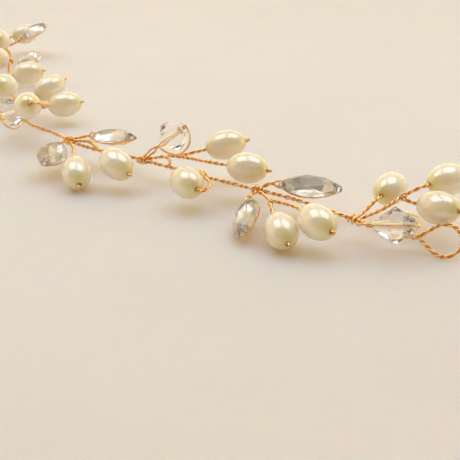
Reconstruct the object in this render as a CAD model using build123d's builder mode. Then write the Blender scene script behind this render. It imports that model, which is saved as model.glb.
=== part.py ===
from build123d import *
import os
from collections import namedtuple
from math import cos, radians, sin, sqrt, tan

# A bridal hair vine lying on a table: a twisted wire stem with an eye at each end, and eight
# wire sprays along it that carry drilled oval pearls, faceted crystal beads and cut navettes.
# Millimetres. X runs along the vine, Z is up, and the table is at Z = 0.

os.makedirs("parts", exist_ok=True)

# Wire
strand = 0.36  # one bare wire
stem_size = 0.76  # the stem's two twisted strands
twig_size = 0.68  # a twig's two strands, twisted tighter
stem_ease = 0.34  # share of a stem run that each bend's arc takes
twig_ease = 0.42
gap = 0.12  # clear space between separate pieces

# Bindings, where each spray is wound on to the stem
binding_length = 2.6
binding_wall = 0.36
binding_bore = stem_size / 2 + gap

# Oval pearls
pearl_size = 6.0
pearl_length = 8.3
pearl_hole = 0.8
nub_size = 1.0  # the curled wire tip that keeps a pearl on its twig
nub_reach = 0.5

# Faceted crystal beads, two pyramids base to base with flat drilled ends
crystal_size = 6.4
crystal_length = 7.0
crystal_end = 2.1
crystal_sides = 10
hoop_clear = 0.6  # how far the wire hoop round a crystal stands off

# Navettes, boat-shaped stones with a flat table, a faceted back and a hole at each tip
navette_length = 12.0
navette_width = 6.0
tip_width = 1.0
navette_hole = 1.1
hole_inset = 1.25
eye_radius = 1.05  # the wire eye through a navette's tip
NavetteSection = namedtuple("NavetteSection", "height scale")
navette_sections = [
    NavetteSection(-1.55, 0.42),
    NavetteSection(-0.25, 1.0),
    NavetteSection(0.15, 1.0),
    NavetteSection(1.35, 0.56),
]
navette_stations = [0.0, 0.3, 0.72, 1.0]  # corners along half the outline, as shares of its half length

# End eyes, teardrops of wire
eye_size = 5.7  # across the wire's centre line
eye_throat = 1.6  # from the eye's point to its middle, as a share of its radius
eye_start = 2.05  # from the stem's tip to the eye's point
eye_sleeve = 1.2  # how much of the stem the eye's binding covers
eye_wall = 0.22  # the wire wound round the stem there
EndEye = namedtuple("EndEye", "name bend inner heading dip bank")
end_eyes = [
    EndEye("end_loop_right", 0, 1, 37.0, -0.1, 51.0),
    EndEye("end_loop_left", -1, -2, 178.0, 16.9, 0.0),
]

# The stem's bends, from the right eye to the left
Bend = namedtuple("Bend", "x y z")
stem_bends = [
    Bend(91.3, 11.2, 2.9),
    Bend(86.8, 7.1, 3.7),
    Bend(80.0, 4.8, 4.5),
    Bend(70.5, 2.1, 4.6),
    Bend(58.0, -3.0, 4.4),
    Bend(45.0, -7.3, 4.1),
    Bend(40.8, -8.7, 4.0),
    Bend(32.4, -11.8, 4.0),
    Bend(23.8, -17.6, 4.4),
    Bend(12.0, -18.8, 4.5),
    Bend(2.5, -20.7, 3.9),
    Bend(-11.0, -19.0, 3.6),
    Bend(-21.0, -15.8, 4.6),
    Bend(-28.0, -13.7, 4.9),
    Bend(-38.5, -10.4, 4.9),
    Bend(-49.0, -6.4, 5.0),
    Bend(-60.5, -1.6, 4.7),
    Bend(-69.0, 0.9, 4.3),
    Bend(-81.0, 2.8, 3.5),
    Bend(-89.7, 3.05, 2.76),
]

# Where each spray is bound: after which bend, and how far along that run
Binding = namedtuple("Binding", "spray bend share")
bindings = [
    Binding("1", 1, 0.42),
    Binding("2", 3, 0.52),
    Binding("3", 6, 0.5),
    Binding("3c", 4, 0.5),
    Binding("4", 8, 0.48),
    Binding("5", 10, 0.52),
    Binding("6", 13, 0.5),
    Binding("7", 15, 0.52),
    Binding("8", 17, 0.55),
]

# Places where a spray's wire divides
Fork = namedtuple("Fork", "name spray via x y z")
forks = [
    Fork("fork_1", "1", (85.4, 11.2, 5.4), 85.0, 15.6, 6.6),
    Fork("fork_2", "2", None, 69.3, -1.6, 4.5),
    Fork("fork_3", "3", (39.6, -6.4, 5.0), 42.4, -4.8, 5.4),
    Fork("fork_4", "4", None, 25.3, -16.4, 5.9),
    Fork("fork_5", "5", (-6.0, -16.7, 4.0), -7.4, -13.8, 5.0),
]

# Each bead: its middle, the heading and lift of the end that points away from the stem in
# degrees, its turn about its hole, the straight wire before it, and where that wire starts
Bead = namedtuple("Bead", "name kind spray x y z heading lift turn stalk start via")
beads = [
    Bead("pearl_1a", "pearl", "1", 80.8, 17.2, 6.4, 112, 0, 0, 1.4, "binding", []),
    Bead("pearl_1b", "pearl", "1", 88.0, 23.9, 9.0, 84, 2, 0, 1.6, "fork_1", []),
    Bead("pearl_1c", "pearl", "1", 91.8, 18.1, 6.4, 10, 8, 0, 1.0, "fork_1", []),
    Bead("crystal_1", "crystal", "1", 92.3, 7.5, 5.9, 32, 10, -75, 1.2, "binding", []),
    Bead("pearl_2a", "pearl", "2", 78.5, -5.9, 3.02, -21, -9, 0, 2.0, "fork_2", []),
    Bead("pearl_2b", "pearl", "2", 83.4, -2.0, 5.6, -4, -3, 0, 2.6, "fork_2", []),
    Bead("navette_2a", "navette", "2", 71.4, 6.0, 6.2, 44, 0, 20, 0.8, "binding", []),
    Bead("navette_2b", "navette", "2", 70.4, -7.7, 2.9, -41, -10, 38, 0.8, "binding", []),
    Bead("pearl_3a", "pearl", "3", 48.0, 2.9, 8.0, 60, 12, 0, 2.0, "fork_3", []),
    Bead("pearl_3b", "pearl", "3", 58.0, 1.2, 6.6, 36, -1, 0, 3.0, "fork_3", []),
    Bead("crystal_3", "crystal", "3", 43.1, -6.7, 10.3, 29, 39, 185, 1.4, "binding", []),
    Bead("pearl_3c", "pearl", "3c", 55.0, -10.6, 5.2, 177, 0, 0, 0.9, "binding",
         [(54.8, -6.3, 5.2), (57.8, -7.1, 5.3), (59.8, -8.9, 5.3)]),
    Bead("pearl_4a", "pearl", "4", 39.4, -17.5, 5.5, 9, -15, 0, 2.2, "fork_4", []),
    Bead("pearl_4b", "pearl", "4", 33.7, -23.7, 3.1, -18, -16, 0, 1.6, "binding",
         [(24.6, -20.0, 4.8)]),
    Bead("navette_4a", "navette", "4", 28.9, -12.7, 7.2, 23, 8, 6, 0.6, "binding", []),
    Bead("navette_4b", "navette", "4", 24.3, -24.7, 4.5, -42, -2, -20, 0.8, "binding", []),
    Bead("pearl_5a", "pearl", "5", -5.6, -8.7, 5.0, 56, 8, 0, 0.8, "fork_5", []),
    Bead("pearl_5b", "pearl", "5", -12.8, -9.2, 7.5, 85, 22, 0, 1.0, "fork_5", []),
    Bead("pearl_5c", "pearl", "5", 5.3, -22.1, 9.6, 169, -24, 0, 0.7, "fork_5",
         [(3.8, -16.0, 8.4), (9.8, -20.0, 11.0)]),
    Bead("crystal_5", "crystal", "5", -2.6, -23.4, 6.2, -56, 6, 200, 1.2, "binding", []),
    Bead("pearl_6a", "pearl", "6", -18.5, -18.8, 8.2, -50, 15, 0, 1.8, "binding", []),
    Bead("pearl_6b", "pearl", "6", -30.2, -8.0, 7.3, 56, 8, 0, 1.2, "binding", []),
    Bead("navette_6a", "navette", "6", -43.0, -2.4, 7.6, 136, 6, 0, 0.8, "binding", []),
    Bead("navette_6b", "navette", "6", -38.5, -18.8, 4.6, -118, -8, 0, 0.8, "binding", []),
    Bead("pearl_7a", "pearl", "7", -49.5, -9.3, 7.4, -42, 12, 0, 1.2, "binding", []),
    Bead("pearl_7b", "pearl", "7", -63.7, -8.9, 6.0, -145, 6, 0, 1.8, "binding", []),
    Bead("pearl_7c", "pearl", "7", -59.0, -13.4, 3.0, -112, -10, 0, 1.6, "binding", []),
    Bead("crystal_7", "crystal", "7", -52.7, -17.2, 6.0, -80, 6, -90, 1.6, "binding", []),
    Bead("pearl_8a", "pearl", "8", -80.4, 10.8, 6.3, 84, 6, 0, 1.6, "binding", []),
    Bead("pearl_8b", "pearl", "8", -68.7, -1.4, 8.0, -30, 20, 0, 1.2, "binding", []),
    Bead("navette_8a", "navette", "8", -74.0, 11.6, 8.2, 118, 12, 0, 0.8, "binding", []),
    Bead("navette_8b", "navette", "8", -80.0, -7.4, 3.9, -112, -8, 0, 0.8, "binding", []),
]
bottom = (Align.CENTER, Align.CENTER, Align.MIN)


def facing(heading, lift):
    """The unit vector at a heading anticlockwise from +X and a lift above the horizontal."""
    level = cos(radians(lift))
    return Vector(level * cos(radians(heading)), level * sin(radians(heading)), sin(radians(lift)))


def bead_plane(bead):
    """A bead's own plane: its middle, its hole along X, and its face along Z."""
    way = facing(bead.heading, bead.lift)
    face = facing(bead.heading + 180 * (bead.lift > 0), 90 - abs(bead.lift))
    return Plane((bead.x, bead.y, bead.z), x_dir=way, z_dir=face.rotate(Axis((0, 0, 0), way), bead.turn))


def bend_radii(route, ease):
    """An arc for each inner corner that takes the given share of its shorter run."""
    points = [Vector(*p) for p in route]
    radii = []
    for before, corner, after in zip(points, points[1:], points[2:]):
        turn = radians((corner - before).get_angle(after - corner))
        run = min((corner - before).length, (after - corner).length)
        radii.append(ease * run / tan(turn / 2))
    return radii


def wire_along(route, size, ease):
    """A round wire of the given size along straight runs joined by tangent arcs."""
    with BuildPart() as wire:
        with BuildLine() as path:
            if len(route) > 2:
                FilletPolyline(*route, radius=bend_radii(route, ease))
            else:
                Line(*route)
        with BuildSketch(Plane(path.line @ 0, z_dir=path.line % 0)):
            Circle(size / 2)
        sweep()
    return wire.part


def straight_wire(start, end, size):
    """A straight round wire between two points."""
    run = Vector(*end) - Vector(*start)
    with BuildPart(Plane(start, z_dir=run)) as wire:
        Cylinder(size / 2, run.length, align=bottom)
    return wire.part


# Where the sprays are bound on the stem, and which way the stem runs there
binding_at = {}
for binding in bindings:
    start = Vector(*stem_bends[binding.bend])
    run = Vector(*stem_bends[binding.bend + 1]) - start
    binding_at[binding.spray] = Plane(start + run * binding.share, z_dir=run)
fork_at = {fork.name: Vector(fork.x, fork.y, fork.z) for fork in forks}

# Main stem
with BuildPart() as main_stem:
    with BuildLine() as stem_path:
        FilletPolyline(*stem_bends, radius=bend_radii(stem_bends, stem_ease))
    with BuildSketch(Plane(stem_path.line @ 0, z_dir=stem_path.line % 0)):
        Circle(stem_size / 2)
    sweep()
main_stem.part.label = "main_stem"
export_step(main_stem.part, "parts/main_stem.step")

# The room that every spray's wire leaves round the stem
stem_room = wire_along(stem_bends, 2 * binding_bore, stem_ease)


def pearl():
    """A drilled oval pearl with its hole along X."""
    with BuildPart() as bead:
        with BuildSketch(Plane.XY):
            with BuildLine():
                EllipticalCenterArc((0, 0), pearl_length / 2, pearl_size / 2, arc_size=180)
                Line((-pearl_length / 2, 0), (pearl_length / 2, 0))
            make_face()
        revolve(axis=Axis.X)
        with Locations(Plane.YZ):
            Cylinder(pearl_hole / 2, 2 * pearl_length, mode=Mode.SUBTRACT)
    return bead.part


def crystal():
    """A faceted crystal bead with its drilled hole along X."""
    with BuildPart() as bead:
        for side in (-1, 1):
            with BuildSketch(Plane.YZ):
                RegularPolygon(crystal_size / 2, crystal_sides)
            with BuildSketch(Plane.YZ.offset(side * crystal_length / 2)):
                RegularPolygon(crystal_end / 2, crystal_sides)
            loft(ruled=True)
        with Locations(Plane.YZ):
            Cylinder(pearl_hole / 2, 2 * crystal_length, mode=Mode.SUBTRACT)
    return bead.part


def navette_outline(scale):
    """The corners of a navette's outline: two circle arcs, cut off square at the tips."""
    half, side = navette_length / 2, navette_width / 2
    arc = (half**2 + side**2) / (2 * side)
    upper = []
    for share in navette_stations:
        x = share * half
        upper.append((x, max(sqrt(arc**2 - x**2) - (arc - side), tip_width / 2)))
    upper = [(-x, y) for x, y in reversed(upper[1:])] + upper[1:]
    return [(scale * x, scale * y) for x, y in upper + [(x, -y) for x, y in reversed(upper)]]


def navette():
    """A cut navette with its long axis along X, its table up and a hole at each tip."""
    with BuildPart() as stone:
        for section in navette_sections:
            with BuildSketch(Plane.XY.offset(section.height)):
                Polygon(*navette_outline(section.scale), align=None)
        loft(ruled=True)
        with Locations((navette_length / 2 - hole_inset, 0), (hole_inset - navette_length / 2, 0)):
            Cylinder(navette_hole / 2, navette_length, mode=Mode.SUBTRACT)
    return stone.part


shape_of = {"pearl": pearl(), "crystal": crystal(), "navette": navette()}

# Pearls, crystals and navettes
for bead in beads:
    plane = bead_plane(bead)
    with BuildPart() as stone:
        with Locations(plane):
            add(shape_of[bead.kind])
    stone.part.label = bead.name
    export_step(stone.part, f"parts/{bead.name}.step")


def pearl_wire(bead, end):
    """The strand through a pearl and the curled tip beyond it."""
    way = facing(bead.heading, bead.lift)
    middle = Vector(bead.x, bead.y, bead.z)
    tip = middle + way * (pearl_length / 2 + nub_reach)
    with BuildPart(Plane(tip, z_dir=way)) as nub:
        Sphere(nub_size / 2)
    return [straight_wire(end, tip, strand), nub.part]


def crystal_wire(bead, end):
    """The strand through a crystal, and the hoop that comes back outside it."""
    plane = bead_plane(bead)
    reach = crystal_length / 2 + hoop_clear
    far = plane.from_local_coords((reach, 0, 0))
    outside = plane.from_local_coords((0, 0, crystal_size / 2 + hoop_clear))
    near = plane.from_local_coords((-reach, 0, 0))
    with BuildPart() as hoop:
        with BuildLine() as path:
            ThreePointArc(far, outside, near)
        with BuildSketch(Plane(path.line @ 0, z_dir=path.line % 0)):
            Circle(strand / 2)
        sweep()
    return [straight_wire(end, far, strand), hoop.part]


def navette_wire(bead):
    """The eye of wire through the hole at a navette's near tip."""
    plane = bead_plane(bead)
    middle = plane.from_local_coords((hole_inset - navette_length / 2 - eye_radius, 0, 0))
    with BuildPart() as eye:
        with Locations(Plane(middle, x_dir=plane.x_dir, z_dir=plane.y_dir)):
            Torus(eye_radius, strand / 2)
    return [eye.part]


def near_end(bead):
    """Where a bead's twig stops, just short of the bead."""
    plane = bead_plane(bead)
    if bead.kind == "navette":
        reach = navette_length / 2 - hole_inset + 2 * eye_radius
    elif bead.kind == "crystal":
        reach = crystal_length / 2 + hoop_clear
    else:
        reach = pearl_length / 2 + 2 * gap
    return plane.from_local_coords((-reach, 0, 0)), plane.from_local_coords((-reach - bead.stalk, 0, 0))


# Spray wires, each with its binding, its twigs and the strands that hold its beads
for binding in bindings:
    seat = binding_at[binding.spray]
    pieces = []
    for fork in forks:
        if fork.spray == binding.spray:
            route = [seat.origin, Vector(*fork.via)] if fork.via else [seat.origin]
            pieces.append(wire_along(route + [fork_at[fork.name]], twig_size, twig_ease))
            with BuildPart() as knot:
                with Locations(fork_at[fork.name]):
                    Sphere(twig_size / 2)
            pieces.append(knot.part)
    for bead in beads:
        if bead.spray == binding.spray:
            start = seat.origin if bead.start == "binding" else fork_at[bead.start]
            end, knee = near_end(bead)
            route = [start] + [Vector(*p) for p in bead.via] + [knee, end]
            pieces.append(wire_along(route, twig_size, twig_ease))
            if bead.kind == "pearl":
                pieces += pearl_wire(bead, end)
            elif bead.kind == "crystal":
                pieces += crystal_wire(bead, end)
            else:
                pieces += navette_wire(bead)
    with BuildPart() as spray:
        with Locations(seat):
            Cylinder(binding_bore + binding_wall, binding_length)
        for piece in pieces:
            add(piece)
        add(stem_room, mode=Mode.SUBTRACT)
    print(f"spray {binding.spray}: {len(spray.part.solids())} solid, {spray.part.volume:.1f} cubic mm")
    spray.part.label = f"spray_wire_{binding.spray}"
    export_step(spray.part, f"parts/spray_wire_{binding.spray}.step")


# End eyes, each bound over one end of the stem
for eye in end_eyes:
    tip = Vector(*stem_bends[eye.bend])
    run = (tip - Vector(*stem_bends[eye.inner])).normalized()
    along = facing(eye.heading, -eye.dip)
    lay = Plane(tip + run * eye_start, x_dir=along, z_dir=along.cross(facing(eye.heading + 90, eye.bank)))
    radius = eye_size / 2
    middle = eye_throat * radius
    touch_x = (middle**2 - radius**2) / middle
    touch_y = radius * sqrt(1 - (radius / middle) ** 2)
    touches = [lay.from_local_coords((touch_x, side * touch_y, 0)) for side in (-1, 1)]
    round_end = lay.from_local_coords((middle + radius, 0, 0))
    arms = [straight_wire(lay.origin, touch, stem_size) for touch in touches]
    with BuildPart() as bow:
        with BuildLine() as path:
            ThreePointArc(touches[0], round_end, touches[1])
        with BuildSketch(Plane(path.line @ 0, z_dir=path.line % 0)):
            Circle(stem_size / 2)
        sweep()
    sleeve = straight_wire(tip - run * eye_sleeve, lay.origin + run * 0.3, 2 * (binding_bore + eye_wall))
    socket = straight_wire(tip - run * (eye_sleeve + 1), tip + run * gap, 2 * binding_bore)
    with BuildPart() as end_loop:
        with Locations(lay.origin):
            Sphere(stem_size / 2)
        for piece in arms + [bow.part, sleeve]:
            add(piece)
        add(socket, mode=Mode.SUBTRACT)
    end_loop.part.label = eye.name
    export_step(end_loop.part, f"parts/{eye.name}.step")
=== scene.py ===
import math
import bmesh
import bpy
import numpy as np
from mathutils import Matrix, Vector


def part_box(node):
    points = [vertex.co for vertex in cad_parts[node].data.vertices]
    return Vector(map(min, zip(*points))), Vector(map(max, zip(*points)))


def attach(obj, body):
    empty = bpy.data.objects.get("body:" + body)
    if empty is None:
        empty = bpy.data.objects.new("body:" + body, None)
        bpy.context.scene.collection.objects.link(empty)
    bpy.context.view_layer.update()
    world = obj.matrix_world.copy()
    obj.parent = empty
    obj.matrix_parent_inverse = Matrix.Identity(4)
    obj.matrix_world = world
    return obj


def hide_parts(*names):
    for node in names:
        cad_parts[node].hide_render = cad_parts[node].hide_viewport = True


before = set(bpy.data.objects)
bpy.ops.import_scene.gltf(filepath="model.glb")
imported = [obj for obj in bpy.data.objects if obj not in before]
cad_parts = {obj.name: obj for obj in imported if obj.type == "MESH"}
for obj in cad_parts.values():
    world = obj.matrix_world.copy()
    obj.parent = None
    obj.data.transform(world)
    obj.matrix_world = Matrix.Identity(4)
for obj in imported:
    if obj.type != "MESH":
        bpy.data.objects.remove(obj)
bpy.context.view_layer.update()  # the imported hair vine, in metres, +X along it and the table at Z = 0
mm = 0.001
scene = bpy.context.scene

# Camera: close, low and long, looking along the vine from its right end
view = {"place": (185.0, -87.8, 66.0), "tiltDown": 25.1, "heading": 56.2, "focal": 67.15, "sensor": 36.0}
cameraData = bpy.data.cameras.new("photoView")
cameraData.lens, cameraData.sensor_width, cameraData.clip_start = view["focal"], view["sensor"], 0.005
camera = bpy.data.objects.new("photoView", cameraData)
camera.location = [mm * c for c in view["place"]]
camera.rotation_euler = (math.radians(90 - view["tiltDown"]), 0, math.radians(view["heading"]))
scene.collection.objects.link(camera)
scene.camera = camera
scene.view_settings.view_transform = "Standard"


# The vine's lines, in millimetres as the maker bends them
stemBends = [
    (91.3, 11.2, 2.9), (86.8, 7.1, 3.7), (80.0, 4.8, 4.5), (70.5, 2.1, 4.6), (58.0, -3.0, 4.4),
    (45.0, -7.3, 4.1), (40.8, -8.7, 4.0), (32.4, -11.8, 4.0), (23.8, -17.6, 4.4), (12.0, -18.8, 4.5),
    (2.5, -20.7, 3.9), (-11.0, -19.0, 3.6), (-21.0, -15.8, 4.6), (-28.0, -13.7, 4.9), (-38.5, -10.4, 4.9),
    (-49.0, -6.4, 5.0), (-60.5, -1.6, 4.7), (-69.0, 0.9, 4.3), (-81.0, 2.8, 3.5), (-89.7, 3.05, 2.76),
]
# Each spray: the stem run it is bound on, how far along, and its forks as (points on the way, fork)
sprays = {
    "1": {"run": 1, "share": 0.42, "forks": {"fork1": [(85.4, 11.2, 5.4), (85.0, 15.6, 6.6)]}},
    "2": {"run": 3, "share": 0.52, "forks": {"fork2": [(69.3, -1.6, 4.5)]}},
    "3": {"run": 6, "share": 0.5, "forks": {"fork3": [(39.6, -6.4, 5.0), (42.4, -4.8, 5.4)]},
          "ties": [[(39.1, -7.1, 4.85), (41.4, -6.5, 5.1), (43.4, -7.6, 4.6)]]},
    "3c": {"run": 4, "share": 0.5, "forks": {}},
    "4": {"run": 8, "share": 0.48, "forks": {"fork4": [(25.3, -16.4, 5.9)]}},
    "5": {"run": 10, "share": 0.52, "forks": {"fork5": [(-6.0, -16.7, 4.0), (-7.4, -13.8, 5.0)]}},
    "6": {"run": 13, "share": 0.5, "forks": {}},
    "7": {"run": 15, "share": 0.52, "forks": {}},
    "8": {"run": 17, "share": 0.55, "forks": {}},
}
# Each bead: spray, heading and lift of its outer end, turn about its hole, stalk, start, points on the way
beads = {
    "pearl_1a": ("1", 112, 0, 0, 1.4, "binding", []),
    "pearl_1b": ("1", 84, 2, 0, 1.6, "fork1", []),
    "pearl_1c": ("1", 10, 8, 0, 1.0, "fork1", []),
    "crystal_1": ("1", 32, 10, -75, 1.2, "binding", []),
    "pearl_2a": ("2", -21, -9, 0, 2.0, "fork2", []),
    "pearl_2b": ("2", -4, -3, 0, 2.6, "fork2", []),
    "navette_2a": ("2", 44, 0, 20, 0.8, "binding", []),
    "navette_2b": ("2", -41, -10, 38, 0.8, "binding", []),
    "pearl_3a": ("3", 60, 12, 0, 2.0, "fork3", []),
    "pearl_3b": ("3", 36, -1, 0, 3.0, "fork3", []),
    "crystal_3": ("3", 29, 39, 185, 1.4, "binding", []),
    "pearl_3c": ("3c", 177, 0, 0, 0.9, "binding", [(54.8, -6.3, 5.2), (57.8, -7.1, 5.3), (59.8, -8.9, 5.3)]),
    "pearl_4a": ("4", 9, -15, 0, 2.2, "fork4", []),
    "pearl_4b": ("4", -18, -16, 0, 1.6, "binding", [(24.6, -20.0, 4.8)]),
    "navette_4a": ("4", 23, 8, 6, 0.6, "binding", []),
    "navette_4b": ("4", -42, -2, -20, 0.8, "binding", []),
    "pearl_5a": ("5", 56, 8, 0, 0.8, "fork5", []),
    "pearl_5b": ("5", 85, 22, 0, 1.0, "fork5", []),
    "pearl_5c": ("5", 169, -24, 0, 0.7, "fork5", [(3.8, -16.0, 8.4), (9.8, -20.0, 11.0)]),
    "crystal_5": ("5", -56, 6, 200, 1.2, "binding", []),
    "pearl_6a": ("6", -50, 15, 0, 1.8, "binding", []),
    "pearl_6b": ("6", 56, 8, 0, 1.2, "binding", []),
    "navette_6a": ("6", 136, 6, 0, 0.8, "binding", []),
    "navette_6b": ("6", -118, -8, 0, 0.8, "binding", []),
    "pearl_7a": ("7", -42, 12, 0, 1.2, "binding", []),
    "pearl_7b": ("7", -145, 6, 0, 1.8, "binding", []),
    "pearl_7c": ("7", -112, -10, 0, 1.6, "binding", []),
    "crystal_7": ("7", -80, 6, -90, 1.6, "binding", []),
    "pearl_8a": ("8", 84, 6, 0, 1.6, "binding", []),
    "pearl_8b": ("8", -30, 20, 0, 1.2, "binding", []),
    "navette_8a": ("8", 118, 12, 0, 0.8, "binding", []),
    "navette_8b": ("8", -112, -8, 0, 0.8, "binding", []),
}
wire = {"radius": 0.2, "stemSpread": 0.225, "twigSpread": 0.19, "sides": 8, "step": 0.2, "twist": 2.9, "twigTwist": 2.6}


# Shader groups
def newGroup(name, inputs, outputs):
    group = bpy.data.node_groups.new(name, "ShaderNodeTree")
    for label, kind, value in inputs:
        socket = group.interface.new_socket(label, in_out="INPUT", socket_type=kind)
        socket.default_value = value
    for label, kind in outputs:
        group.interface.new_socket(label, in_out="OUTPUT", socket_type=kind)
    return group, group.nodes.new("NodeGroupInput"), group.nodes.new("NodeGroupOutput")


def addNode(tree, kind, links=None, **settings):
    node = tree.nodes.new(kind)
    for key, value in settings.items():
        setattr(node, key, value)
    for socket, source in (links or {}).items():
        if isinstance(source, bpy.types.NodeSocket):
            tree.links.new(source, node.inputs[socket])
        else:
            node.inputs[socket].default_value = source
    return node


# toneVariation: cloudy mix of two colours and a matching roughness, from two sizes of noise
toneGroup, groupIn, groupOut = newGroup(
    "toneVariation",
    [("Low Color", "NodeSocketColor", (0.5, 0.5, 0.5, 1)), ("High Color", "NodeSocketColor", (0.8, 0.8, 0.8, 1)),
     ("Scale", "NodeSocketFloat", 300.0), ("Low Roughness", "NodeSocketFloat", 0.2),
     ("High Roughness", "NodeSocketFloat", 0.3)],
    [("Color", "NodeSocketColor"), ("Roughness", "NodeSocketFloat"), ("Height", "NodeSocketFloat")])
place = addNode(toneGroup, "ShaderNodeTexCoord")
coarse = addNode(toneGroup, "ShaderNodeTexNoise", {"Vector": place.outputs["Object"], "Scale": groupIn.outputs["Scale"], "Detail": 3.0})
fineScale = addNode(toneGroup, "ShaderNodeMath", {0: groupIn.outputs["Scale"], 1: 6.3}, operation="MULTIPLY")
fine = addNode(toneGroup, "ShaderNodeTexNoise", {"Vector": place.outputs["Object"], "Scale": fineScale.outputs[0], "Detail": 2.0})
level = addNode(toneGroup, "ShaderNodeMapRange", {"Value": coarse.outputs["Fac"], "From Min": 0.3, "From Max": 0.7})
mixed = addNode(toneGroup, "ShaderNodeMix", {"Factor": level.outputs["Result"], "A": groupIn.outputs["Low Color"], "B": groupIn.outputs["High Color"]}, data_type="RGBA")
colorIn = [s for s in mixed.inputs if s.type == "RGBA"]
toneGroup.links.new(groupIn.outputs["Low Color"], colorIn[0])
toneGroup.links.new(groupIn.outputs["High Color"], colorIn[1])
rough = addNode(toneGroup, "ShaderNodeMapRange", {"Value": fine.outputs["Fac"], "To Min": groupIn.outputs["Low Roughness"], "To Max": groupIn.outputs["High Roughness"]})
toneGroup.links.new([s for s in mixed.outputs if s.type == "RGBA"][0], groupOut.inputs["Color"])
toneGroup.links.new(rough.outputs["Result"], groupOut.inputs["Roughness"])
toneGroup.links.new(fine.outputs["Fac"], groupOut.inputs["Height"])


# A material: the group's cloudy colour on a Principled shader, blended towards a second colour by a per-vertex weight:
# on pearls an amber tint at the holes, on the wires painted shade on the sides of twisted strands that face each other
def newMaterial(name, tones, scale, roughness, bump=0.0, tintAndShadeColour=None, **shaderValues):
    material = bpy.data.materials.new(name)
    material.use_nodes = True
    tree = material.node_tree
    shader = tree.nodes["Principled BSDF"]
    tone = addNode(tree, "ShaderNodeGroup", node_tree=toneGroup)
    tone.inputs["Low Color"].default_value = (*tones[0], 1)
    tone.inputs["High Color"].default_value = (*tones[1], 1)
    tone.inputs["Scale"].default_value = scale
    tone.inputs["Low Roughness"].default_value, tone.inputs["High Roughness"].default_value = roughness
    color = tone.outputs["Color"]
    if tintAndShadeColour:
        tintAndShadeWeight = addNode(tree, "ShaderNodeAttribute", attribute_name="tintAndShadeWeight")
        blend = addNode(tree, "ShaderNodeMix", {"Factor": tintAndShadeWeight.outputs["Fac"]}, data_type="RGBA")
        colors = [socket for socket in blend.inputs if socket.type == "RGBA"]
        tree.links.new(color, colors[0])
        colors[1].default_value = (*tintAndShadeColour, 1)
        color = [socket for socket in blend.outputs if socket.type == "RGBA"][0]
    tree.links.new(color, shader.inputs["Base Color"])
    tree.links.new(tone.outputs["Roughness"], shader.inputs["Roughness"])
    if bump:
        relief = addNode(tree, "ShaderNodeBump", {"Height": tone.outputs["Height"], "Strength": bump, "Distance": 0.02 * mm})
        tree.links.new(relief.outputs["Normal"], shader.inputs["Normal"])
    for socket, value in shaderValues.items():
        shader.inputs[socket.replace("_", " ")].default_value = value
    return material


# Gold wire: its second, deep orange colour is painted shade, laid where twisted strands face each other
goldWire = newMaterial("goldWire", [(0.9, 0.47, 0.13), (1.0, 0.76, 0.42)], 420.0, (0.14, 0.28), bump=0.2,
                       tintAndShadeColour=(0.72, 0.27, 0.04), Metallic=1.0)
pearlLacquer = newMaterial("pearlLacquer", [(0.92, 0.79, 0.6), (0.97, 0.87, 0.73)], 200.0, (0.24, 0.34), bump=0.05,
                           tintAndShadeColour=(0.95, 0.74, 0.3), Coat_Weight=1.0, Coat_Roughness=0.07, Coat_IOR=2.4,
                           Subsurface_Weight=0.9, Subsurface_Radius=(1.0, 0.75, 0.45), Subsurface_Scale=4.0 * mm)
clearCrystal = newMaterial("clearCrystal", [(0.97, 0.96, 0.94), (1.0, 0.99, 0.98)], 150.0, (0.06, 0.12),
                           Transmission_Weight=1.0, IOR=1.32)
cutStone = newMaterial("cutStone", [(0.98, 0.97, 0.95), (1.0, 1.0, 0.99)], 150.0, (0.0, 0.01),
                       Transmission_Weight=1.0, IOR=1.46)
silverFoil = newMaterial("silverFoil", [(0.84, 0.8, 0.72), (0.92, 0.89, 0.82)], 300.0, (0.1, 0.2), Metallic=0.6)
goldFoil = newMaterial("goldFoil", [(0.85, 0.45, 0.14), (0.95, 0.6, 0.25)], 300.0, (0.15, 0.25), Metallic=1.0)
floorPaper = newMaterial("floorPaper", [(0.775, 0.745, 0.715), (0.795, 0.765, 0.735)], 40.0, (0.5, 0.6), bump=0.1,
                         Specular_IOR_Level=0.2, Subsurface_Weight=1.0, Subsurface_Radius=(1.0, 0.68, 0.36), Subsurface_Scale=18.0 * mm)
print("materials made")


# Directions and frames
def facing(heading, lift):
    h, l = math.radians(heading), math.radians(lift)
    return np.array([math.cos(l) * math.cos(h), math.cos(l) * math.sin(h), math.sin(l)])


def unit(vectors):
    return vectors / np.maximum(np.linalg.norm(vectors, axis=-1, keepdims=True), 1e-12)


def beadAxes(heading, lift, turn):  # rows: along the hole, across it, out of its face
    way = facing(heading, lift)
    face = facing(heading + 180 * (lift > 0), 90 - abs(lift))
    t = math.radians(turn)
    face = face * math.cos(t) + np.cross(way, face) * math.sin(t)
    return np.array([way, np.cross(face, way), face])


# A smooth line through corners: each corner bends as a parabola between the middles of its two runs
def smoothPath(corners, step):
    p = np.array(corners, float)
    mid = (p[1:] + p[:-1]) / 2
    t = np.linspace(0, 1, 24)[None, :, None]
    a, b, c = mid[:-1, None], p[1:-1, None], mid[1:, None]
    bends = ((1 - t) ** 2 * a + 2 * t * (1 - t) * b + t ** 2 * c).reshape(-1, 3)
    line = np.vstack([p[:1], bends, p[-1:]]) if len(p) > 2 else p
    gaps = np.linalg.norm(np.diff(line, axis=0), axis=1)
    keep = np.concatenate([[True], gaps > 1e-6])
    line = line[keep]
    far = np.concatenate([[0], np.cumsum(np.linalg.norm(np.diff(line, axis=0), axis=1))])
    s = np.linspace(0, far[-1], max(3, int(far[-1] / step) + 1))
    return np.column_stack([np.interp(s, far, line[:, k]) for k in range(3)]), s


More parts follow.
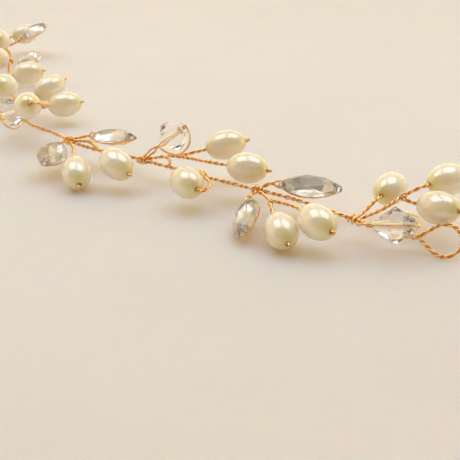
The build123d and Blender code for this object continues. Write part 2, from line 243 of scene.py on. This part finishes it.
# A tube: a ring of points at each place on the line, first point of the ring towards "outward"
def tubeGrid(line, outward, radius, sides):
    tangent = unit(np.gradient(line, axis=0))
    outward = np.broadcast_to(outward, line.shape)
    out = unit(outward - (outward * tangent).sum(1, keepdims=True) * tangent)
    side = np.cross(tangent, out)
    a = np.arange(sides) * 2 * np.pi / sides
    size = np.broadcast_to(radius, len(line))[:, None, None]
    return line[:, None] + size * (np.cos(a)[None, :, None] * out[:, None] + np.sin(a)[None, :, None] * side[:, None])


# Two strands wound round a line: each stands off it by "spread" and turns once per twist, a little unevenly
def twistedPair(line, s, twist, spread, start=0.0, guide=None, radius=None):
    tangent = unit(np.gradient(line, axis=0))
    if guide is None:
        guide = np.array([0.0, 0.0, 1.0]) if abs(tangent[:, 2]).max() < 0.93 else facing(start * 57.3 + 20, 0)
    across = unit(np.cross(tangent, guide))
    upward = np.cross(across, tangent)
    spread = (spread * (1 + 0.12 * np.sin(s * 0.9 + start)))[:, None]
    turn = 2 * np.pi * (s / twist + 0.07 * np.sin(s * 1.7 + start)) + start
    grids = []
    for half in (0, np.pi):
        out = np.cos(turn + half)[:, None] * across + np.sin(turn + half)[:, None] * upward
        grids.append(tubeGrid(line + spread * out, out, radius or wire["radius"], wire["sides"]))
    return grids


# Wire wound round a run: turns side by side that lean, wander and cross, as a hand winds them
def woundWire(seat, run, length, turns, radius, seed):
    across = unit(np.cross(run, [0, 0, 1.0]))
    upward = np.cross(across, run)
    t = np.linspace(0, 1, int(26 * turns))
    turn = 2 * np.pi * turns * t + seed
    out = np.cos(turn)[:, None] * across + np.sin(turn)[:, None] * upward
    far = (t - 0.5) * length + 0.16 * np.sin(turn * 0.5 + seed) * np.sin(np.pi * t) + 0.12 * np.cos(turn)
    r = radius + 0.07 * np.sin(t * 19 + seed) + 0.05 * np.sin(t * 7.3)
    return tubeGrid(seat + run * far[:, None] + r[:, None] * out, out, wire["radius"], wire["sides"])


# One mesh from several grids of points: quads between neighbours, closed round, and capped at both ends
def gridsToObject(name, grids, material, scale=mm, closedAlong=(), paired=0):
    vertices, faces, strandShade, base = [], [], [], 0
    for k, grid in enumerate(grids):
        n, m = grid.shape[:2]
        loop = k in closedAlong
        i, j = np.meshgrid(np.arange(n if loop else n - 1), np.arange(m), indexing="ij")
        a, b = i * m + j, ((i + 1) % n) * m + j
        c, d = ((i + 1) % n) * m + (j + 1) % m, i * m + (j + 1) % m
        faces += (np.stack([a, d, c, b], -1).reshape(-1, 4) + base).tolist()
        if not loop:
            faces.append((base + np.arange(m)[::-1]).tolist())
            faces.append((base + (n - 1) * m + np.arange(m)).tolist())
        vertices.append(grid.reshape(-1, 3))
        # painted shade weight: rises on the side of each twisted strand that faces its partner
        strandShade.append(np.tile((k < paired) * (0.5 - 0.5 * np.cos(np.arange(m) * 2 * np.pi / m)) ** 2, n))
        base += n * m
    thing = meshObject(name, np.vstack(vertices) * scale, faces, [material])
    # the first "paired" grids are twisted strands: painted shade darkens their colour on the side that faces the
    # partner, in the crevice between them
    thing.data.attributes.new("tintAndShadeWeight", "FLOAT", "POINT").data.foreach_set("value", np.concatenate(strandShade).astype(np.float32))
    return thing


def meshObject(name, points, faces, materials, slots=None, smooth=True):
    mesh = bpy.data.meshes.new(name)
    mesh.from_pydata(points.tolist(), [], faces)
    mesh.polygons.foreach_set("use_smooth", np.full(len(mesh.polygons), smooth))
    for material in materials:
        mesh.materials.append(material)
    if slots is not None:
        mesh.polygons.foreach_set("material_index", np.array(slots, dtype=np.int32))
    mesh.validate()
    mesh.update()
    thing = bpy.data.objects.new(name, mesh)
    scene.collection.objects.link(thing)
    return thing


def finishPiece(thing, node):
    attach(thing, "root")
    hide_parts(node)


# Stem: two strands twisted all the way along
stemLine, stemAlong = smoothPath(stemBends, wire["step"])
stemWires = gridsToObject("stemWires", twistedPair(stemLine, stemAlong, wire["twist"], wire["stemSpread"]), goldWire, paired=2)
finishPiece(stemWires, "main_stem")
print("stem made")


# Pearl: an ellipse turned round its hole, with the edge of the hole rounded over
pearl = {"length": 8.3, "size": 6.0, "hole": 0.8, "rim": 0.12, "around": 48, "along": 40, "tintAndShadeWeight": 0.9, "flare": 1.1}


def pearlGrid(centre, axes, seed):
    half, r, hole = pearl["length"] / 2, pearl["size"] / 2, pearl["hole"] / 2
    edge = math.asin((hole + pearl["rim"]) / r)
    a = np.linspace(edge, np.pi - edge, pearl["along"])
    x, radius = -half * np.cos(a), r * np.sin(a)
    lip = x[0] + pearl["rim"]
    x = np.concatenate([[lip + 1.2, lip], x, [-lip, -lip - 1.2]])
    radius = np.concatenate([[hole, hole], radius, [hole, hole]])
    turn = np.arange(pearl["around"]) * 2 * np.pi / pearl["around"]
    wobble = 1 + 0.006 * np.sin(3 * turn + seed)[None] * np.sin(x * 0.7 + seed)[:, None]
    local = np.stack([np.repeat(x[:, None], len(turn), 1), radius[:, None] * wobble * np.cos(turn), radius[:, None] * wobble * np.sin(turn)], -1)
    tintAndShadeWeight = pearl["tintAndShadeWeight"] * np.exp(-((half - np.abs(x)) / pearl["flare"]) ** 2)
    return centre + local @ axes, np.repeat(tintAndShadeWeight, len(turn))


# Crystal bead: two ten-sided pyramids base to base, cut flat at the ends, with a drilled hole
crystal = {"size": 6.4, "length": 7.0, "end": 2.1, "sides": 10, "hole": 0.8, "hoop": 0.6}


def crystalBead(name, centre, axes):
    a = np.arange(crystal["sides"]) * 2 * np.pi / crystal["sides"]
    ring = np.column_stack([np.zeros_like(a), np.cos(a), np.sin(a)])
    half = crystal["length"] / 2
    rows = [(-half, crystal["hole"] / 2), (-half, crystal["end"] / 2), (0, crystal["size"] / 2), (half, crystal["end"] / 2), (half, crystal["hole"] / 2)]
    grid = np.array([ring * r + [x, 0, 0] for x, r in rows])
    grid = centre + grid @ axes
    bead = gridsToObject(name, [grid], clearCrystal, closedAlong=(0,))
    bead.data.polygons.foreach_set("use_smooth", np.zeros(len(bead.data.polygons), bool))
    return bead


# Navette: rings of corners on two circle arcs, joined by triangles to facets, over a cup of foil inside the stone
navette = {"length": 12.0, "width": 6.0, "tip": 0.5, "hole": 1.1, "inset": 1.25, "eye": 1.05,
           "table": (1.35, 0.56, 0.5), "crown": (0.86, 0.82, 0.8), "girdle": (0.15, -0.25),
           "back": (-0.95, 0.7, 0.68), "keel": (-1.55, 0.42, 0.16)}


# A ring of corners: angles spread round it, x as the cosine along the stone, y out to the arc at that x
def stoneRing(height, alongShare, acrossShare, angles):
    half, side = navette["length"] / 2, navette["width"] / 2
    arc = (half ** 2 + side ** 2) / (2 * side)
    x = half * np.cos(angles)
    y = np.maximum(np.sqrt(arc ** 2 - x ** 2) - (arc - side), navette["tip"] * 0.9) * np.sign(np.round(np.sin(angles), 6))
    return np.column_stack([x * alongShare, y * acrossShare, np.full_like(x, height)])


# Triangles from a ring of 16 to a ring of 8 whose first corner stands over the 16's corner "shift"
def fan(base16, base8, shift):
    k = np.arange(8)
    low = [base16 + (2 * k + shift + d) % 16 for d in (-1, 0, 1)]
    top, after = base8 + k, base8 + (k + 1) % 8
    return np.vstack([np.column_stack([low[0], low[1], top]), np.column_stack([low[1], low[2], top]), np.column_stack([top, low[2], after])])


# Triangles between two rings of 8, the second turned half a step on from the first
def zigzag(first, second):
    k = np.arange(8)
    return np.vstack([np.column_stack([first + k, first + (k + 1) % 8, second + k]), np.column_stack([first + (k + 1) % 8, second + (k + 1) % 8, second + k])])


def navetteStone():
    sixteen = np.arange(16) * np.pi / 8 + np.pi / 16
    eight = np.arange(8) * np.pi / 4 + np.pi / 16
    rings = [stoneRing(*navette["table"], eight + np.pi / 8), stoneRing(*navette["crown"], eight),
             stoneRing(navette["girdle"][0], 1, 1, sixteen), stoneRing(navette["girdle"][1], 1, 1, sixteen),
             stoneRing(*navette["back"], eight), stoneRing(*navette["keel"], eight + np.pi / 8)]
    b = np.concatenate([[0], np.cumsum([len(ring) for ring in rings])])
    around = np.arange(16)
    faces = [b[0] + np.arange(8)[None], zigzag(b[1], b[0]), fan(b[2], b[1], 0),
             np.column_stack([b[2] + around, b[3] + around, b[3] + (around + 1) % 16, b[2] + (around + 1) % 16]),
             fan(b[3], b[4], 0), zigzag(b[4], b[5]), b[5] + np.arange(8)[None]]
    return np.vstack(rings), [f for group in faces for f in group.tolist()]


# The foil cup: the stone's back let out by a hair for its gold outside, and drawn in a little for its silver inside
def navetteFoil():
    sixteen = np.arange(16) * np.pi / 8 + np.pi / 16
    eight = np.arange(8) * np.pi / 4 + np.pi / 16
    (z1, x1, y1), (z2, x2, y2), low = navette["back"], navette["keel"], navette["girdle"][1]
    outer = [stoneRing(0.0, 1.004, 1.01, sixteen), stoneRing(low - 0.01, 1.004, 1.01, sixteen),
             stoneRing(z1 - 0.02, x1 * 1.01, y1 * 1.01, eight), stoneRing(z2 - 0.02, x2 * 1.02, y2 * 1.05, eight + np.pi / 8)]
    inner = [stoneRing(0.0, 0.988, 0.975, sixteen), stoneRing(low + 0.01, 0.988, 0.975, sixteen),
             stoneRing(z1 + 0.05, x1 * 0.98, y1 * 0.96, eight), stoneRing(z2 + 0.06, x2 * 0.96, y2 * 0.9, eight + np.pi / 8)]
    rings = outer + inner
    b = np.concatenate([[0], np.cumsum([len(ring) for ring in rings])])
    around, after = np.arange(16), (np.arange(16) + 1) % 16
    band = lambda upper, lower: np.column_stack([upper + around, lower + around, lower + after, upper + after])
    shells = [[band(b[k], b[k + 1]), fan(b[k + 1], b[k + 2], 0), zigzag(b[k + 2], b[k + 3]), b[k + 3] + np.arange(8)[None]] for k in (0, 4)]
    golden = [f for group in shells[0] + [band(b[0], b[4])] for f in group.tolist()]
    silver = [f for group in shells[1] for f in group.tolist()]
    return np.vstack(rings), golden + silver, [1] * len(golden) + [2] * len(silver)


# The stone's blank in millimetres, faces turned outward, with a hole drilled down through each tip
def drilledBlank(name, points, faces, slots):
    blank = meshObject(name, points, faces, [cutStone, goldFoil, silverFoil], slots, smooth=False)
    work = bmesh.new()
    work.from_mesh(blank.data)
    bmesh.ops.recalc_face_normals(work, faces=work.faces)
    work.to_mesh(blank.data)
    work.free()
    drills = []
    for end in (-1, 1):
        x = end * (navette["length"] / 2 - navette["inset"])
        line = np.column_stack([np.full(4, x), np.zeros(4), np.linspace(-3, 3, 4)])
        drills.append(tubeGrid(line, np.array([1.0, 0, 0]), navette["hole"] / 2, 16))
    drill = gridsToObject("drill", drills, cutStone, scale=1.0)
    holes = blank.modifiers.new("holes", "BOOLEAN")
    holes.operation, holes.object, holes.solver = "DIFFERENCE", drill, "EXACT"
    made = bpy.data.meshes.new_from_object(blank.evaluated_get(bpy.context.evaluated_depsgraph_get()))
    bpy.data.objects.remove(blank)
    bpy.data.objects.remove(drill)
    return made


def meshArrays(mesh):
    points = np.zeros(len(mesh.vertices) * 3)
    mesh.vertices.foreach_get("co", points)
    return points.reshape(-1, 3), [list(face.vertices) for face in mesh.polygons], [face.material_index for face in mesh.polygons]


stonePoints, stoneFaces = navetteStone()
glassBlank = meshArrays(drilledBlank("stoneBlank", stonePoints, stoneFaces, [0] * len(stoneFaces)))
foilBlank = meshArrays(drilledBlank("foilBlank", *navetteFoil()))
blankPoints = np.vstack([glassBlank[0], foilBlank[0]])
blankFaces = glassBlank[1] + [[v + len(glassBlank[0]) for v in face] for face in foilBlank[1]]
blankSlots = glassBlank[2] + foilBlank[2]
print("stones cut")


def wireFor(name, seat, forks):
    spray, heading, lift, turn, stalk, start, via = beads[name]
    axes = beadAxes(heading, lift, turn)
    centre = beadCentre[name]
    kind = name.split("_")[0]
    if kind == "navette":
        reach = navette["length"] / 2 - navette["inset"] + 2 * navette["eye"]
    elif kind == "crystal":
        reach = crystal["length"] / 2 + crystal["hoop"]
    else:
        reach = pearl["length"] / 2 + 0.24
    end = centre - reach * axes[0]
    knee = end - stalk * axes[0]
    begin = seat if start == "binding" else np.array(forks[start][-1])
    corners = [begin] + [np.array(v) for v in via] + [knee, end]
    seed = sum(ord(c) for c in name) * 0.37
    if kind == "pearl":
        corners.append(centre + (pearl["length"] / 2 - 0.1) * axes[0])
    line, s = smoothPath(corners, wire["step"])
    spread = np.full(len(line), wire["twigSpread"])
    if start != "binding":  # the strands part where a twig leaves its fork
        spread = spread + 0.26 * np.exp(-((s - 0.9) / 0.55) ** 2)
    if kind == "crystal":  # one strand goes to the hole and one to the hoop
        spread = spread + 0.35 * np.sin(np.pi * s / s[-1]) ** 2
    if kind == "pearl":
        spread = spread - 0.03 * np.clip((s - (s[-1] - pearl["length"] - 0.3)) / 0.5, 0, 1)
    twist = 2.4 * s[-1] if kind == "crystal" else wire["twigTwist"]
    pair, grids, loops = twistedPair(line, s, twist, spread, seed), [], []
    if kind == "pearl":  # the wire turns back into the pearl as a short bow
        a = np.linspace(0, np.pi, 16)
        local = np.column_stack([pearl["length"] / 2 - 0.15 + 0.85 * np.sin(a) ** 0.8, 0.3 * np.cos(a), 0.12 * np.sin(a)])
        t = math.radians(seed * 60)
        bow = np.column_stack([local[:, 0], local[:, 1] * math.cos(t) - local[:, 2] * math.sin(t), local[:, 1] * math.sin(t) + local[:, 2] * math.cos(t)])
        flat = unit(np.array([0.0, -math.sin(t), math.cos(t)])) @ axes
        grids.append(tubeGrid(centre + bow @ axes, flat, wire["radius"], wire["sides"]))
    elif kind == "crystal":
        through = np.linspace(-reach, reach, 16)
        local = np.column_stack([through, 0 * through, 0 * through])
        grids.append(tubeGrid(centre + local @ axes, axes[1], wire["radius"], wire["sides"]))
        a = np.linspace(-0.12, np.pi + 0.12, 44)
        local = np.column_stack([reach * np.cos(a), 0 * a, (crystal["size"] / 2 + crystal["hoop"]) * np.sin(a)])
        grids.append(tubeGrid(centre + local @ axes, axes[1], wire["radius"], wire["sides"]))
    else:  # a narrow eye: a teardrop whose point is at the twig and whose round end goes through the hole
        a = np.arange(40) * 2 * np.pi / 40
        middle = navette["inset"] - navette["length"] / 2 - navette["eye"]
        local = np.column_stack([middle - navette["eye"] * np.cos(a), 0 * a, 1.12 * np.sin(a) * np.sin(a / 2) ** 0.8])
        line = centre + local @ axes
        tangent = unit(np.roll(line, -1, 0) - np.roll(line, 1, 0))
        outward = np.cross(np.broadcast_to(axes[1], line.shape), tangent)
        side = np.cross(tangent, outward)
        b = np.arange(wire["sides"]) * 2 * np.pi / wire["sides"]
        loops.append(line[:, None] + wire["radius"] * (np.cos(b)[None, :, None] * outward[:, None] + np.sin(b)[None, :, None] * side[:, None]))
    return pair, grids, loops


beadCentre = {}
for name in beads:
    low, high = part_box(name)
    beadCentre[name] = (np.array(low) + np.array(high)) / 2 / mm

# Sprays: each a mesh of twigs, bead wires and the wire wound round the stem
binding = {"length": 2.3, "turns": 4.2, "radius": 0.6}
for label, spray in sprays.items():
    a, b = np.array(stemBends[spray["run"]]), np.array(stemBends[spray["run"] + 1])
    seat, run = a + (b - a) * spray["share"], unit(b - a)
    pairs, grids, loops = [], [], []
    for fork, points in spray["forks"].items():
        line, s = smoothPath([seat] + [np.array(p) for p in points], wire["step"])
        pairs += twistedPair(line, s, wire["twigTwist"], wire["twigSpread"], 1.1)
    for name, values in beads.items():
        if values[0] == label:
            twig, single, rings = wireFor(name, seat, spray["forks"])
            pairs, grids, loops = pairs + twig, grids + single, loops + rings
    for tie in spray.get("ties", []):  # a short pair of strands that braces a twig against the stem
        line, s = smoothPath(tie, wire["step"])
        pairs += twistedPair(line, s, wire["twigTwist"], wire["twigSpread"], 0.8)
    seed = sum(ord(c) for c in label) * 0.7
    grids.append(woundWire(seat, run, binding["length"], binding["turns"], binding["radius"], seed))
    grids.append(woundWire(seat + 0.2 * run, run, 1.1, 1.6, binding["radius"] + 0.18, seed + 2))
    grids = pairs + grids
    closed = tuple(range(len(grids), len(grids) + len(loops)))
    piece = gridsToObject("sprayWires" + label, grids + loops, goldWire, closedAlong=closed, paired=len(pairs))
    finishPiece(piece, "spray_wire_" + label)
print("sprays made")

# End loops: the stem's strands open into a teardrop, cross at its neck and wind back on the stem
eye = {"size": 5.7, "throat": 1.6, "start": 2.05, "turns": 4.6, "wound": 3.0, "radius": 0.54, "wire": 0.2}
endLoops = {"end_loop_right": (0, 1, 37.0, -0.1, 51.0), "end_loop_left": (-1, -2, 178.0, 16.9, 0.0)}
for node, (last, inner, heading, dip, bank) in endLoops.items():
    tip = np.array(stemBends[last])
    run = unit(tip - np.array(stemBends[inner]))
    along = facing(heading, -dip)
    normal = unit(np.cross(along, facing(heading + 90, bank)))
    beside = np.cross(normal, along)
    neck, r = tip + eye["start"] * run, eye["size"] / 2
    middle = eye["throat"] * r
    reach = math.acos(r / middle)  # the arms leave the circle here, seen from its middle
    a = np.linspace(math.pi - reach, -math.pi + reach, 90)
    arc = np.column_stack([middle + r * np.cos(a), r * np.sin(a)])
    t = np.linspace(0, 1, 24)[:, None]
    flat = np.vstack([t[:-1] * arc[0], arc, arc[-1] * (1 - t[1:])])
    line = neck + flat[:, :1] * along + flat[:, 1:] * beside
    far = np.concatenate([[0], np.cumsum(np.linalg.norm(np.diff(line, axis=0), axis=1))])
    s = np.linspace(0, far[-1], int(far[-1] / wire["step"]))
    line = np.column_stack([np.interp(s, far, line[:, k]) for k in range(3)])
    grids = twistedPair(line, s, wire["twist"], eye["wire"], 0.4, guide=normal, radius=eye["wire"])
    grids.append(woundWire(tip + 0.55 * run, run, eye["wound"], eye["turns"], eye["radius"], 0.4))
    piece = gridsToObject(node.replace("end_loop_", "endLoop").replace("right", "Right").replace("left", "Left"), grids, goldWire, paired=2)
    finishPiece(piece, node)
print("end loops made")

# Beads
for name, (spray, heading, lift, turn, stalk, start, via) in beads.items():
    axes = beadAxes(heading, lift, turn)
    kind, label = name.split("_")
    if kind == "pearl":
        grid, tintAndShadeWeight = pearlGrid(beadCentre[name], axes, heading)
        piece = gridsToObject("pearl" + label.upper(), [grid], pearlLacquer)
        piece.data.attributes["tintAndShadeWeight"].data.foreach_set("value", tintAndShadeWeight.astype(np.float32))
    elif kind == "crystal":
        piece = crystalBead("crystal" + label.upper(), beadCentre[name], axes)
    else:
        points = (beadCentre[name] + blankPoints @ axes) * mm
        piece = meshObject("navette" + label.upper(), points, blankFaces, [cutStone, goldFoil, silverFoil], blankSlots, smooth=False)
    finishPiece(piece, name)
print("beads made")

# Floor and light
bpy.ops.mesh.primitive_plane_add(size=4.0, location=(0, 0, 0))
floor = bpy.context.object
floor.name = "paperFloor"
floor.data.materials.append(floorPaper)
studio = {"power": 0.93, "size": (0.4, 0.4), "gap": 0.07, "height": 0.5, "back": 0.04, "lampColor": (0.66, 0.8, 1.0),
          "fillColor": (1.0, 0.81, 0.53), "horizon": 1.32, "zenith": 0.88, "dark": 0.28}
across = facing(view["heading"], 0)  # the photo's left to right
toCamera = facing(view["heading"] - 90, 0)
for k, side in enumerate((-1, 1)):
    lampData = bpy.data.lights.new(f"softbox{k + 1}", "AREA")
    lampData.shape, lampData.size, lampData.size_y = "RECTANGLE", *studio["size"]
    lampData.energy, lampData.color = studio["power"], studio["lampColor"]
    lamp = bpy.data.objects.new(f"softbox{k + 1}", lampData)
    lamp.location = side * (studio["size"][0] + studio["gap"]) / 2 * across - studio["back"] * toCamera + np.array([0, 0, studio["height"]])
    lamp.rotation_euler = (0, 0, math.radians(view["heading"]))
    scene.collection.objects.link(lamp)

# Room: brighter overhead and behind, darker and cloudy low on the side that the picture is taken from
world = bpy.data.worlds.new("room")
scene.world = world
world.use_nodes = True
tree = world.node_tree
background = tree.nodes["Background"]
background.inputs["Color"].default_value = (*studio["fillColor"], 1)
skyPlace = addNode(tree, "ShaderNodeTexCoord").outputs["Generated"]
skyParts = addNode(tree, "ShaderNodeSeparateXYZ", {"Vector": skyPlace})
skyLevel = addNode(tree, "ShaderNodeMapRange", {"Value": skyParts.outputs["Z"], "From Min": 0.0, "From Max": 0.8, "To Min": studio["horizon"], "To Max": studio["zenith"]}, interpolation_type="SMOOTHSTEP")
near = addNode(tree, "ShaderNodeVectorMath", {0: skyPlace, 1: tuple(toCamera)}, operation="DOT_PRODUCT")
nearLevel = addNode(tree, "ShaderNodeMapRange", {"Value": near.outputs["Value"], "From Min": -0.1, "From Max": 0.45, "To Min": 1.0, "To Max": studio["dark"]}, interpolation_type="SMOOTHSTEP")
clouds = addNode(tree, "ShaderNodeTexNoise", {"Vector": skyPlace, "Scale": 3.2, "Detail": 2.0})
cloudLevel = addNode(tree, "ShaderNodeMapRange", {"Value": clouds.outputs["Fac"], "From Min": 0.35, "From Max": 0.65, "To Min": 0.6, "To Max": 1.4})
dimmed = addNode(tree, "ShaderNodeMath", {0: skyLevel.outputs["Result"], 1: nearLevel.outputs["Result"]}, operation="MULTIPLY")
clouded = addNode(tree, "ShaderNodeMath", {0: dimmed.outputs[0], 1: cloudLevel.outputs["Result"]}, operation="MULTIPLY")
tree.links.new(clouded.outputs[0], background.inputs["Strength"])
print("studio made")
